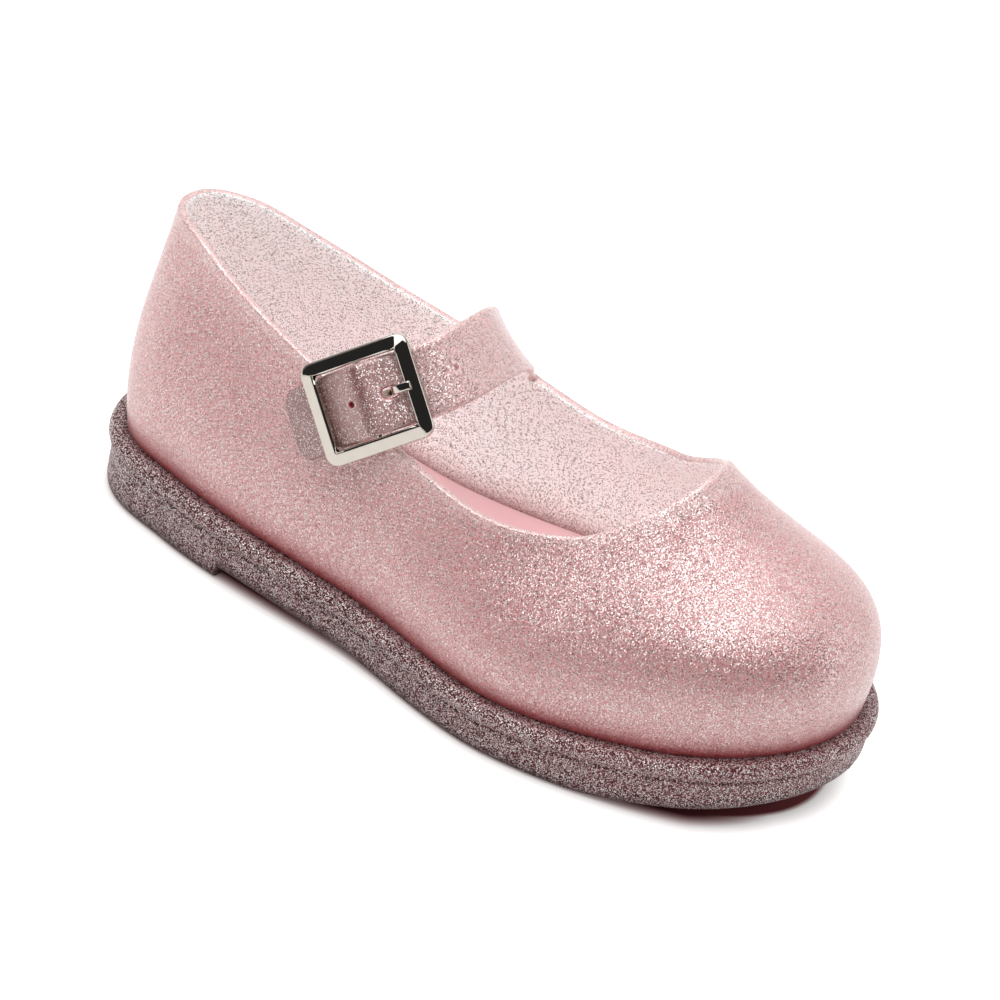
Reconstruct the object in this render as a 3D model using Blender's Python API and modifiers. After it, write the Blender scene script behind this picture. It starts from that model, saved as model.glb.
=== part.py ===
"""Child's closed-toe jelly shoe for the right foot: moulded PVC upper with its instep strap, outsole, insole, buckle.

Metres, +Z up. The toe points along +X, the lateral (outer) side lies along -Y. Driving dimensions are in millimetres,
measured from the back of the heel (x), the foot axis (y) and the floor (z); place() turns them into metres about the
middle of the sole.
"""

import math

import bpy
import numpy as np

MM = 0.001
GAP = 0.3  # clearance between two pieces that touch on the real shoe

# Outsole
LENGTH = 175.0
HEEL_RADIUS = 29.0
TOE_RADIUS = 28.0
SOLE_WIDTH = (
    # share of length, lateral half width, medial half width
    (0.15, 26.0, 27.0),
    (0.40, 31.5, 24.8),
    (0.65, 39.2, 33.2),
    (0.82, 33.5, 32.6),
)
SOLE_TOP = (
    # share of length, height of the top edge
    (0.00, 14.8),
    (0.15, 14.4),
    (0.40, 12.6),
    (0.62, 11.3),
    (0.80, 13.2),
    (1.00, 19.0),
)
BREAST = 0.236  # share of length where the heel block ends
SOLE_BOTTOM = (
    # share of length, height of the underside
    (0.000, 0.0),
    (BREAST, 0.0),
    (BREAST + 0.006, 2.6),
    (0.360, 1.9),
    (0.540, 0.0),
    (0.740, 0.0),
    (0.860, 2.7),
    (1.000, 8.8),
)
SOLE_FOOT = (
    # inset from the rim, height over the underside
    (2.9, 0.0),
    (1.7, 0.25),
    (1.1, 0.9),
)
SOLE_RIM = (
    # inset from the rim, depth under the top edge
    (1.0, 4.3),
    (0.35, 3.6),
    (0.0, 2.5),
    (0.1, 1.4),
    (0.7, 0.5),
    (1.8, 0.0),
)

# Upper: a wall between the feather line on the sole and the topline of the collar
WALL = 2.0
FEATHER_INSET = 3.5
TOPLINE_START = 4.8
TOPLINE_END = 132.0
TOPLINE_HEEL_RADIUS = 9.5
TOPLINE_THROAT_RADIUS = 18.0
TOPLINE = (
    # share of the opening, lateral half width, medial half width, height
    (0.00, 0.0, 0.0, 63.2),
    (0.07, 10.3, 10.3, 62.4),
    (0.18, 15.0, 15.0, 58.4),
    (0.31, 18.3, 18.3, 54.0),
    (0.44, 21.0, 21.0, 50.2),
    (0.58, 23.6, 23.6, 45.0),
    (0.72, 24.4, 24.4, 41.9),
    (0.86, 21.2, 21.2, 45.0),
    (0.95, 14.0, 14.0, 52.8),
    (1.00, 0.0, 0.0, 59.6),
)
MERIDIAN = (
    # angle round the sole, angle round the topline, flare at the sole, low handle, slope at the topline, high handle
    (0.0, 0.0, 12.0, 0.40, 84.0, 0.34),
    (40.0, 44.0, 12.0, 0.38, 83.0, 0.33),
    (66.0, 77.0, 10.0, 0.36, 82.0, 0.33),
    (90.0, 107.0, 12.0, 0.36, 78.0, 0.33),
    (107.0, 126.0, 14.0, 0.40, 64.0, 0.35),
    (127.0, 146.0, 12.0, 0.47, 49.0, 0.42),
    (150.0, 163.0, 11.0, 0.54, 44.0, 0.53),
    (180.0, 180.0, 8.0, 0.58, 35.0, 0.52),
)

# Insole
INSOLE = 2.6
INSOLE_INSET = FEATHER_INSET + WALL + 0.5

# Buckle frame, about the axis of its centre bar: along the strap, along the bar, out from the foot
BUCKLE_AT = (66.0, -22.6, 53.2)
BUCKLE_AZIMUTH = 6.0
BUCKLE_ELEVATION = 24.0
STRAP_HEADING = (0.74, 0.32, 0.59)
FRAME_ALONG = 11.7
FRAME_ACROSS = 10.6
FRAME_BAR = 3.0
FRAME_CORNER = 2.6
FRAME_LOW = 0.1
FRAME_HIGH = 2.1
FRAME_BEVEL = 0.55
BAR_RADIUS = 0.75
BORE_RADIUS = BAR_RADIUS + GAP
LUG_RADIUS = 1.65
LUG_HALF = 6.2
PRONG_NOTCH = 1.6
PRONG_WIDTH = 2.0
PRONG_THICK = 1.0
PRONG = (
    # along the strap, out from the foot
    (0.8, -1.0),
    (2.3, -0.5),
    (3.6, 0.35),
    (4.6, 1.4),
    (5.6, 2.3),
    (7.0, 2.9),
    (8.6, 3.05),
    (10.4, 3.05),
)

# Strap: moulded with the upper, from the medial topline over the instep to the buckle
STRAP_HALF = 7.3
STRAP_COLUMNS = 7
STRAP_ROOT = 0.518  # share of the opening where the strap leaves the medial topline
STRAP_ROOT_TURN = (61.0, 89.0)  # degrees round the medial side within which the columns are halved for the root
STRAP_TAIL = 19.5
STRAP_ARCH = (
    # centre of the strap's outer face over the instep
    (74.3, 19.8, 52.4),
    (77.4, 12.6, 58.2),
    (80.2, 1.7, 63.5),
    (79.6, -9.5, 63.7),
)
STRAP_SAG = 0.8  # the strap's middle lies this much deeper than its edges where it leaves the medial side
STRAP_ARCH_RULING = (0.77, 0.0, -0.64)
STRAP_WAVE = (
    # along the strap from the centre bar, out from the foot: the outer face through the buckle
    (-STRAP_TAIL, -5.9),
    (-13.5, -2.3),
    (-9.8, -0.3),
    (-5.0, 1.9),
    (0.0, 3.8),
    (5.0, 1.9),
    (9.8, -0.3),
    (13.5, -0.8),
)
TAIL_CORNER = 4.0
SLOT = (3.0, 6.3, 1.3)  # along the strap from, to, half width
HOLE_AT = -2.7
HOLE_RADIUS = 0.6

SOLE_COLUMNS = 48  # stations from heel to toe, on each side
WALL_ROWS = 13
STRAP_ROWS = 46


def column(table, index):
    """One column of a table as an array."""
    return np.array([row[index] for row in table], float)


def smooth(at, knots, values):
    """Monotone cubic through the knots, so that no bump appears between two rows of a table."""
    knots = np.asarray(knots, float)
    values = np.asarray(values, float)
    at = np.clip(np.asarray(at, float), knots[0], knots[-1])
    step = np.diff(knots)
    rise = np.diff(values) / step
    before, after = rise[:-1], rise[1:]
    same = before * after > 0
    mean = np.where(same, 2 * before * after / np.where(same, before + after, 1), 0)
    slope = np.concatenate([rise[:1], mean, rise[-1:]])
    i = np.clip(np.searchsorted(knots, at, side="right") - 1, 0, len(step) - 1)
    t = (at - knots[i]) / step[i]
    start = values[i] + t * t * (3 - 2 * t) * (values[i + 1] - values[i])
    return start + t * (1 - t) * step[i] * ((1 - t) * slope[i] - t * slope[i + 1])


def spline(at, knots, points):
    """Natural cubic curve through points in space, one for each knot."""
    step = np.diff(knots)[:, None]
    rise = np.diff(points, axis=0) / step
    system = np.eye(len(knots))
    pull = np.zeros_like(points)
    for i in range(1, len(knots) - 1):
        system[i, i - 1 : i + 2] = step[i - 1, 0], 2 * (step[i - 1, 0] + step[i, 0]), step[i, 0]
        pull[i] = 6 * (rise[i] - rise[i - 1])
    bend = np.linalg.solve(system, pull)
    i = np.clip(np.searchsorted(knots, at, side="right") - 1, 0, len(step) - 1)
    b = ((at - knots[i]) / step[i, 0])[:, None]
    a = 1 - b
    return a * points[i] + b * points[i + 1] + ((a**3 - a) * bend[i] + (b**3 - b) * bend[i + 1]) * step[i] ** 2 / 6


def unit(v):
    v = np.asarray(v, float)
    return v / np.linalg.norm(v, axis=-1, keepdims=True)


def ring(angle, start, end, radii, table):
    """Closed plan outline: x runs as 1 - cos of the angle, y as its sine times a factor read from the table's widths.

    Angles from 0 to pi lie on the lateral side, from heel to toe, and from pi to 2 pi on the medial side, back again.
    """
    share = (1 - np.cos(angle)) / 2
    inner = np.array([row for row in table if row[1] > 0])
    round_off = 2 * np.sqrt(inner[:, 0] * (1 - inner[:, 0]))
    ends = np.sqrt(np.array(radii) * (end - start) / 2)
    knots = np.concatenate([[0], inner[:, 0], [1]])
    lateral = smooth(share, knots, np.concatenate([ends[:1], inner[:, 1] / round_off, ends[1:]]))
    medial = smooth(share, knots, np.concatenate([ends[:1], inner[:, 2] / round_off, ends[1:]]))
    factor = np.where(np.sin(angle) > 0, lateral, medial)
    return np.stack([start + share * (end - start), -factor * np.sin(angle)], axis=1)


def outward(plan):
    """Unit normals of a closed outline, pointing out of it."""
    along = np.roll(plan, -1, axis=0) - np.roll(plan, 1, axis=0)
    return unit(np.stack([along[:, 1], -along[:, 0]], axis=1))


def sole_top(x):
    return smooth(x / LENGTH, column(SOLE_TOP, 0), column(SOLE_TOP, 1))


def sole_bottom(x):
    return smooth(x / LENGTH, column(SOLE_BOTTOM, 0), column(SOLE_BOTTOM, 1))


def station(angle):
    """Place along the sole: every ring of the side takes its height from it, so that the rings stay level."""
    return (1 - np.cos(angle)) / 2 * LENGTH


def sole_ring(angle, inset):
    plan = ring(angle, 0, LENGTH, (HEEL_RADIUS, TOE_RADIUS), SOLE_WIDTH)
    return plan - inset * outward(plan)


def even_angles():
    return np.arange(2 * SOLE_COLUMNS) * math.pi / SOLE_COLUMNS


RIM = sole_ring(even_angles(), 0)
MIDDLE = np.array([LENGTH / 2, (RIM[:, 1].min() + RIM[:, 1].max()) / 2, 0])


def place(points):
    """Millimetres from the heel to metres about the middle of the sole."""
    return (np.asarray(points, float).reshape(-1, 3) - MIDDLE) * MM


def lattice(rows, columns, closed):
    """Quads of a grid of points, row by row; closed joins the last column to the first."""
    last = columns if closed else columns - 1
    r, c = np.meshgrid(np.arange(rows - 1), np.arange(last), indexing="ij")
    a = r * columns + c
    b = r * columns + (c + 1) % columns
    return np.stack([a, b, b + columns, a + columns], axis=-1).reshape(-1, 4).tolist()


def ladder(first, count, up):
    """Quads that fill a closed outline, each between the lateral and medial points of two stations."""
    half = count // 2
    faces = []
    for i in range(half):
        left, left_next = first + i, first + i + 1
        right, right_next = first + (count - i) % count, first + count - i - 1
        face = [left, left_next, right_next, right]
        face = list(dict.fromkeys(face))
        faces.append(face if up else face[::-1])
    return faces


def material(name, colour, metallic, roughness):
    made = bpy.data.materials.new(name)
    made.use_nodes = True
    shader = made.node_tree.nodes["Principled BSDF"]
    shader.inputs["Base Color"].default_value = (*colour, 1)
    shader.inputs["Metallic"].default_value = metallic
    shader.inputs["Roughness"].default_value = roughness
    return made


def solid(name, points, faces, collection, finish=None):
    """One object from millimetre points."""
    mesh = bpy.data.meshes.new(name)
    mesh.from_pydata(place(points).tolist(), [], faces)
    mesh.update()
    made = bpy.data.objects.new(name, mesh)
    collection.objects.link(made)
    if finish:
        mesh.materials.append(finish)
    else:
        made.hide_render = True
        made.display_type = "WIRE"
    return made


def combine(target, operation, other):
    step = target.modifiers.new(operation.lower() + " " + other.name, "BOOLEAN")
    step.operation = operation
    step.solver = "EXACT"
    step.object = other


def sole(collection, finish):
    """Side profile carried round the outline; the underside and the top are filled from side to side."""
    breast = [math.acos(1 - 2 * share) for share in (BREAST, BREAST + 0.006)]
    lateral = np.sort(np.concatenate([even_angles()[: SOLE_COLUMNS + 1], breast]))
    angle = np.concatenate([lateral, 2 * math.pi - lateral[-2:0:-1]])
    rows = []
    for inset, height in SOLE_FOOT:
        plan = sole_ring(angle, inset)
        rows.append(np.column_stack([plan, sole_bottom(station(angle)) + height]))
    for inset, depth in SOLE_RIM:
        plan = sole_ring(angle, inset)
        rows.append(np.column_stack([plan, sole_top(station(angle)) - depth]))
    faces = lattice(len(rows), len(angle), True)
    faces += ladder(0, len(angle), False)
    faces += ladder((len(rows) - 1) * len(angle), len(angle), True)
    return solid("outsole", np.concatenate(rows), faces, collection, finish)


def insole(collection, finish):
    angle = even_angles()
    rows = []
    for inset, height in ((0.0, 0.0), (0.0, INSOLE - 0.6), (0.7, INSOLE)):
        plan = sole_ring(angle, INSOLE_INSET + inset)
        rows.append(np.column_stack([plan, sole_top(plan[:, 0]) + GAP + height]))
    faces = lattice(3, len(angle), True)
    faces += ladder(0, len(angle), False)
    faces += ladder(2 * len(angle), len(angle), True)
    return solid("insole", np.concatenate(rows), faces, collection, finish)


def wall_angles():
    """Even steps round the shoe, halved under the root of the strap."""
    even = even_angles()
    between = even + math.pi / SOLE_COLUMNS / 2
    turn = 360 - np.degrees(between)
    return np.sort(np.concatenate([even, between[(turn > STRAP_ROOT_TURN[0]) & (turn < STRAP_ROOT_TURN[1])]]))


def wall_grid():
    """Outer face of the upper: a cubic curve rises from each point of the feather line to its point on the topline.

    The curve leaves the sole upright, flared out by a few degrees, and arrives at the topline with the table's slope.
    """
    angle = wall_angles()
    turn = np.degrees(np.where(angle > math.pi, 2 * math.pi - angle, angle))
    keys = column(MERIDIAN, 0)
    top_turn = np.radians(smooth(turn, keys, column(MERIDIAN, 1)))
    top_angle = np.where(angle > math.pi, 2 * math.pi - top_turn, top_turn)
    flare, low, slope, high = (smooth(turn, keys, column(MERIDIAN, i)) for i in (2, 3, 4, 5))
    flare, slope = np.radians(flare)[:, None], np.radians(slope)[:, None]
    plan = sole_ring(angle, FEATHER_INSET)
    foot = np.column_stack([plan, sole_top(plan[:, 0]) + GAP])
    radii = (TOPLINE_HEEL_RADIUS, TOPLINE_THROAT_RADIUS)
    collar = ring(top_angle, TOPLINE_START, TOPLINE_END, radii, TOPLINE)
    share = (1 - np.cos(top_angle)) / 2
    top = np.column_stack([collar, smooth(share, column(TOPLINE, 0), column(TOPLINE, 3))])
    up = np.array([0, 0, 1.0])
    out_low = np.column_stack([outward(plan), 0 * share])
    out_high = np.column_stack([outward(collar), 0 * share])
    reach = np.linalg.norm(top - foot, axis=1)[:, None]
    second = foot + low[:, None] * reach * (out_low * np.sin(flare) + up * np.cos(flare))
    third = top - high[:, None] * reach * (up * np.sin(slope) - out_high * np.cos(slope))
    t = np.linspace(0, 1, WALL_ROWS + 1)[:, None, None]
    rows = (1 - t) ** 3 * foot + 3 * t * (1 - t) ** 2 * second + 3 * t**2 * (1 - t) * third + t**3 * top
    return rows, share


def buckle_axes():
    """Along the strap towards the instep, along the centre bar, and out from the foot."""
    azimuth, elevation = math.radians(BUCKLE_AZIMUTH), math.radians(BUCKLE_ELEVATION)
    level = math.cos(elevation)
    out = np.array([math.sin(azimuth) * level, -math.cos(azimuth) * level, math.sin(elevation)])
    along = unit(np.array(STRAP_HEADING) - out * np.dot(STRAP_HEADING, out))
    return np.array([along, np.cross(along, out), out])


def at_buckle(points):
    return np.asarray(points, float) @ buckle_axes() + np.array(BUCKLE_AT)


def strap_grid(root):
    """Outer face of the strap, row by row from its root on the topline to the tail past the buckle.

    A row is a ruling of the strap's width about the centre line, hollow by the sag where it leaves the medial side.
    The line runs over the instep and then weaves under the frame, over the centre bar and under the frame again.
    """
    along, across, _ = buckle_axes()
    wave_at = np.array([13.5, 9.8, 7.4, 5.0, 2.5, 0.0, -2.5, -5.0, -7.4, -9.8, -13.5, -STRAP_TAIL])
    wave_out = smooth(wave_at, column(STRAP_WAVE, 0), column(STRAP_WAVE, 1))
    weave = at_buckle(np.column_stack([wave_at, 0 * wave_at, wave_out]))
    centre = np.concatenate([[root.mean(axis=0)], STRAP_ARCH, weave])
    root_ruling = unit(root[-1] - root[0])
    arch = np.tile(unit(STRAP_ARCH_RULING), (len(STRAP_ARCH), 1))
    ruling = np.concatenate([[root_ruling], arch, np.tile(across, (len(weave), 1))])
    run = np.concatenate([[0], np.cumsum(np.linalg.norm(np.diff(centre, axis=0), axis=1))])
    near_end = run[-1] - TAIL_CORNER * np.array([0.85, 0.6, 0.3, 0.1, 0.0])
    at = np.concatenate([np.linspace(0, near_end[0], STRAP_ROWS)[1:], near_end[1:]])
    middle = spline(at, run, centre)
    lay = unit(np.stack([smooth(at, run, ruling[:, i]) for i in range(3)], axis=1))
    half = np.full(len(at), STRAP_HALF)
    from_end = np.clip(1 - (run[-1] - at) / TAIL_CORNER, 0, 1)
    half -= TAIL_CORNER * (1 - np.sqrt(1 - from_end**2 * 0.96))
    root_half = np.linalg.norm(root[-1] - root[0]) / 2
    half += (root_half - STRAP_HALF) * np.clip(1 - at / 9.0, 0, 1) ** 2
    side = np.linspace(-1, 1, len(root))
    straight = middle[:, None] + lay[:, None] * (half[:, None] * side)[:, :, None]
    deeper = unit(np.cross(lay, np.gradient(middle, axis=0)))
    sag = STRAP_SAG * np.exp(-(((at - 13) / 8) ** 2))[:, None] * (1 - side**2)
    straight += deeper[:, None] * sag[:, :, None]
    bend = root - (root.mean(axis=0) + root_ruling * root_half * side[:, None])
    fade = np.clip(1 - at / 9.0, 0, 1) ** 2
    return straight + fade[:, None, None] * bend


def upper(collection, cutters, finish):
    """Wall and strap as one sheet, thickened inwards; the strap starts from the topline's own points."""
    wall, share = wall_grid()
    rows, columns = wall.shape[:2]
    medial = np.flatnonzero(wall_angles() > math.pi)
    nearest = medial[np.argsort(abs(share[medial] - STRAP_ROOT))[: STRAP_COLUMNS + 1]]
    picks = np.sort(nearest)[::-1]  # from the heel towards the toe
    strap = strap_grid(wall[-1, picks])
    faces = lattice(rows, columns, True)
    offset = rows * columns
    added = offset + np.arange(strap[:, :, 0].size).reshape(len(strap), -1)
    numbers = np.concatenate([[(rows - 1) * columns + picks], added])
    for low, high in zip(numbers[:-1], numbers[1:]):
        for i in range(STRAP_COLUMNS):
            faces.append([int(low[i + 1]), int(low[i]), int(high[i]), int(high[i + 1])])
    points = np.concatenate([wall.reshape(-1, 3), strap.reshape(-1, 3)])
    made = solid("upper", points, faces, collection, finish)
    thick = made.modifiers.new("wall", "SOLIDIFY")
    thick.thickness = WALL * MM
    thick.offset = -1
    thick.use_even_offset = True
    for name, operation, shape in upper_details():
        combine(made, operation, solid(name, *shape, cutters))
    return made


def box(low, high):
    """Block in the buckle's axes, between two corners."""
    corners = [[(low, high)[(i >> axis) & 1][axis] for axis in range(3)] for i in range(8)]
    faces = [[0, 2, 3, 1], [4, 5, 7, 6], [0, 1, 5, 4], [2, 6, 7, 3], [0, 4, 6, 2], [1, 3, 7, 5]]
    return oriented(at_buckle(corners), faces)


def rod(centre, axis, radius, low, high, sides=20):
    """Cylinder in the buckle's axes: axis 1 lies along the centre bar, axis 2 points out from the foot."""
    turn = np.arange(sides) * 2 * math.pi / sides
    first, second = {1: (0, 2), 2: (0, 1)}[axis]
    points = np.tile(np.asarray(centre, float), (2 * sides, 1))
    points[:, first] += radius * np.cos(np.tile(turn, 2))
    points[:, second] += radius * np.sin(np.tile(turn, 2))
    points[:, axis] += np.repeat([low, high], sides)
    faces = lattice(2, sides, True) + [list(range(sides))[::-1], list(range(sides, 2 * sides))]
    return oriented(at_buckle(points), faces)


def oriented(points, faces):
    """The same faces, all turned round if they point into the body."""
    centre = points.mean(axis=0)
    volume = 0.0
    for face in faces:
        for i in range(1, len(face) - 1):
            a, b, c = (points[face[j]] - centre for j in (0, i, i + 1))
            volume += np.dot(a, np.cross(b, c))
    return points, faces if volume > 0 else [face[::-1] for face in faces]


def upper_details():
    """Lug that holds the centre bar at the lateral topline, its bore, the prong's notch and the strap's two holes."""
    slot_from, slot_to, slot_half = SLOT
    web = box((-8.0, -LUG_HALF, -4.7), (0.2, LUG_HALF, -0.7))
    lug = rod((0, 0, 0), 1, LUG_RADIUS, -LUG_HALF, LUG_HALF)
    bore = rod((0, 0, 0), 1, BORE_RADIUS, -LUG_HALF - 2, LUG_HALF + 2)
    notch = box((-2.4, -PRONG_NOTCH, -2.2), (2.6, PRONG_NOTCH, 1.85))
    slot = box((slot_from, -slot_half, -4.0), (slot_to, slot_half, 6.0))
    hole = rod((HOLE_AT, 0, 0), 2, HOLE_RADIUS, 0.4, 6.0, 12)
    return (
        ("lug_web", "UNION", web),
        ("lug", "UNION", lug),
        ("lug_bore", "DIFFERENCE", bore),
        ("prong_notch", "DIFFERENCE", notch),
        ("strap_slot", "DIFFERENCE", slot),
        ("strap_hole", "DIFFERENCE", hole),
    )


def buckle_frame(collection, cutters, finish):
    """Rounded square of a bevelled bar, with the round centre bar across it."""
    steps = np.linspace(0, math.pi / 2, 6)
    path = []
    for i, (sx, sy) in enumerate(((1, 1), (-1, 1), (-1, -1), (1, -1))):
        turn = steps + i * math.pi / 2
        corner = np.array([sx * (FRAME_ALONG - FRAME_CORNER), sy * (FRAME_ACROSS - FRAME_CORNER)])
        path.append(np.column_stack([corner[0] + 0 * turn, corner[1] + 0 * turn, np.cos(turn), np.sin(turn)]))
    path = np.concatenate(path)
    b, low, high = FRAME_BEVEL, FRAME_LOW, FRAME_HIGH
    section = ((0, low + b), (0, high - b), (b, high), (FRAME_BAR - b, high))
    section += ((FRAME_BAR, high - b), (FRAME_BAR, low + b), (FRAME_BAR - b, low), (b, low))
    rows = []
    for inset, height in section:
        reach = FRAME_CORNER - inset
        rows.append(np.column_stack([path[:, :2] + reach * path[:, 2:], np.full(len(path), height)]))
    rows.append(rows[0])
    points = np.concatenate(rows[:-1])
    count = len(path)
    faces = [[i % len(points) for i in face] for face in lattice(len(rows), count, True)]
    frame = solid("buckle_frame", *oriented(at_buckle(points), faces), collection, finish)
    reach = FRAME_ACROSS - FRAME_BAR / 2
    combine(frame, "UNION", solid("centre_bar", *rod((0, 0, 0), 1, BAR_RADIUS, -reach, reach), cutters))
    return frame


def buckle_prong(collection, cutters, finish):
    """Flat pin: an eye round the centre bar and an arm through the strap's slot onto the instep-side bar."""
    half = PRONG_WIDTH / 2
    line = np.array(PRONG)
    along = unit(np.gradient(line, axis=0))
    side = np.stack([-along[:, 1], along[:, 0]], axis=1) * PRONG_THICK / 2
    rows = []
    for across, offset in ((-half, -1), (half, -1), (half, 1), (-half, 1)):
        edge = line + offset * side
        rows.append(np.column_stack([edge[:, 0], np.full(len(line), across), edge[:, 1]]))
    points = np.stack(rows, axis=1).reshape(-1, 3)
    last = len(points) - 4
    faces = lattice(len(line), 4, True) + [[3, 2, 1, 0], [last, last + 1, last + 2, last + 3]]
    prong = solid("buckle_prong", *oriented(at_buckle(points), faces), collection, finish)
    combine(prong, "UNION", solid("eye", *rod((0, 0, 0), 1, LUG_RADIUS, -half, half), cutters))
    combine(prong, "DIFFERENCE", solid("eye_bore", *rod((0, 0, 0), 1, BORE_RADIUS, -half - 1, half + 1), cutters))
    return prong


def main():
    for old in list(bpy.data.objects):
        bpy.data.objects.remove(old, do_unlink=True)
    shoe = bpy.data.collections.new("jelly_shoe")
    cutters = bpy.data.collections.new("cutters")
    for made in (shoe, cutters):
        bpy.context.scene.collection.children.link(made)
    cutters.hide_render = True
    sole_pvc = material("sole_glitter_pvc", (0.26, 0.16, 0.17), 0.0, 0.35)
    upper_pvc = material("upper_glitter_pvc", (0.69, 0.40, 0.39), 0.0, 0.25)
    foam = material("insole_pvc", (0.87, 0.46, 0.50), 0.0, 0.5)
    nickel = material("polished_nickel", (0.75, 0.73, 0.70), 1.0, 0.12)
    sole(shoe, sole_pvc)
    insole(shoe, foam)
    upper(shoe, cutters, upper_pvc)
    buckle_frame(shoe, cutters, nickel)
    buckle_prong(shoe, cutters, nickel)


main()
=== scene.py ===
"""Looks of the child's jelly shoe: glitter PVC upper and sole, plain insole, nickel buckle, pale studio."""

import math

import bmesh
import bpy
import numpy as np
from mathutils import Matrix, Vector


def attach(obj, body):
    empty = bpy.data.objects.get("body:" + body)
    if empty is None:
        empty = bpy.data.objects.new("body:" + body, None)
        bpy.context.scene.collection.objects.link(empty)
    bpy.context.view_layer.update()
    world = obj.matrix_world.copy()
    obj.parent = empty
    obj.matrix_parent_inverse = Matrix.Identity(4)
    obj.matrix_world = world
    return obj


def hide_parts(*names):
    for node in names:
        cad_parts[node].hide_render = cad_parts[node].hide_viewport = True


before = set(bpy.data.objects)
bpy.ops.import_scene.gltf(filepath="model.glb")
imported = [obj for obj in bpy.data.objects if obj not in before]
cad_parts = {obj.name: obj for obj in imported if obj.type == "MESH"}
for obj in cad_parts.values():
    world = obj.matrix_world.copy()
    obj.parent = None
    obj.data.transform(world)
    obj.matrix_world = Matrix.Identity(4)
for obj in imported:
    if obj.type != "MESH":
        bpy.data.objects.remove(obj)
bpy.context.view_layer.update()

MM = 0.001

# Shoe form in millimetres: x from the back of the heel, y from the foot axis with the lateral side negative,
# z from the floor
LENGTH = 175.0
MIDDLE = np.array([87.5, -2.56777, 0.0])
HEEL_RADIUS, TOE_RADIUS = 29.0, 28.0
SOLE_WIDTH = (
    # share of length, lateral half width, medial half width
    (0.15, 26.0, 27.0),
    (0.40, 31.5, 24.8),
    (0.65, 39.2, 33.2),
    (0.82, 33.5, 32.6),
)
SOLE_TOP = (
    # share of length, height of the top edge
    (0.00, 14.8),
    (0.15, 14.4),
    (0.40, 12.6),
    (0.62, 11.3),
    (0.80, 13.2),
    (1.00, 19.0),
)
BREAST = 0.236
SOLE_BOTTOM = (
    # share of length, height of the underside
    (0.000, 0.0),
    (BREAST, 0.0),
    (BREAST + 0.006, 2.6),
    (0.360, 1.9),
    (0.540, 0.0),
    (0.740, 0.0),
    (0.860, 2.7),
    (1.000, 8.8),
)
SOLE_SIDE = (
    # inset from the rim, measured from the underside (0) or the top edge (1), height over that
    (2.9, 0, 0.00),
    (2.3, 0, 0.06),
    (1.75, 0, 0.30),
    (1.35, 0, 0.75),
    (1.15, 0, 1.40),
    (1.08, 0, 2.30),
    (1.02, 1, -5.40),
    (1.04, 1, -4.80),
    (1.22, 1, -4.35),
    (1.12, 1, -4.00),
    (0.62, 1, -3.65),
    (0.22, 1, -3.15),
    (0.02, 1, -2.45),
    (0.04, 1, -1.70),
    (0.28, 1, -1.00),
    (0.70, 1, -0.45),
    (1.25, 1, -0.12),
    (1.90, 1, 0.00),
    (2.60, 1, -0.06),
    (3.40, 1, -0.15),
    (4.60, 1, -0.15),
)
EDGE_HEIGHT = 13.0  # usual height of the top edge, which spaces the rows of the side
SEAM, SEAM_HALF = 0.12, 0.006  # how far the mould's parting line stands proud, and its half angle
RIB_PITCH, RIB_DEPTH, RIB_BOW = 6.0, 0.7, 5.0
TREADS = (
    # ribs start, ribs end, length over which they fade: heel and forefoot
    (9.0, BREAST * LENGTH - 4, 3.0),
    (72.0, 160.0, 6.0),
)
FEATHER_INSET = 3.5
FEATHER_GAP = 0.3
FOOT_DROP = 0.7  # how far the wall goes on below the feather line
WALL = 2.0
TOPLINE_START, TOPLINE_END = 4.8, 132.0
TOPLINE_HEEL_RADIUS, TOPLINE_THROAT_RADIUS = 9.5, 18.0
TOPLINE = (
    # share of the opening, lateral half width, medial half width, height
    (0.00, 0.0, 0.0, 63.2),
    (0.07, 10.3, 10.3, 62.4),
    (0.18, 15.0, 15.0, 58.4),
    (0.31, 18.3, 18.3, 54.0),
    (0.44, 21.0, 21.0, 50.2),
    (0.58, 23.6, 23.6, 45.0),
    (0.72, 24.4, 24.4, 41.9),
    (0.86, 21.2, 21.2, 45.0),
    (0.95, 14.0, 14.0, 52.8),
    (1.00, 0.0, 0.0, 59.6),
)
MERIDIAN = (
    # angle round the sole, angle round the topline, flare at the sole, low handle,
    # slope at the topline, high handle
    (0.0, 0.0, 12.0, 0.40, 84.0, 0.34),
    (40.0, 44.0, 12.0, 0.38, 83.0, 0.33),
    (66.0, 77.0, 10.0, 0.36, 82.0, 0.33),
    (90.0, 107.0, 12.0, 0.36, 78.0, 0.33),
    (107.0, 126.0, 14.0, 0.40, 64.0, 0.35),
    (127.0, 146.0, 12.0, 0.47, 49.0, 0.42),
    (150.0, 163.0, 11.0, 0.54, 44.0, 0.53),
    (180.0, 180.0, 8.0, 0.58, 35.0, 0.52),
)
INSOLE_INSET = 5.8
INSOLE_GAP = 0.1
INSOLE_EDGE = (
    # further inset, height over the underside
    (0.40, 0.00),
    (0.00, 0.30),
    (0.00, 1.70),
    (0.10, 2.10),
    (0.35, 2.40),
    (0.80, 2.58),
    (1.50, 2.60),
)
SEAT_DIP = 0.7
SEATS = (
    # middle of the dip, its reach along the shoe, share of the full dip: heel and ball of the foot
    (30.0, 20.0, 1.0),
    (112.0, 26.0, 0.8),
)

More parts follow.
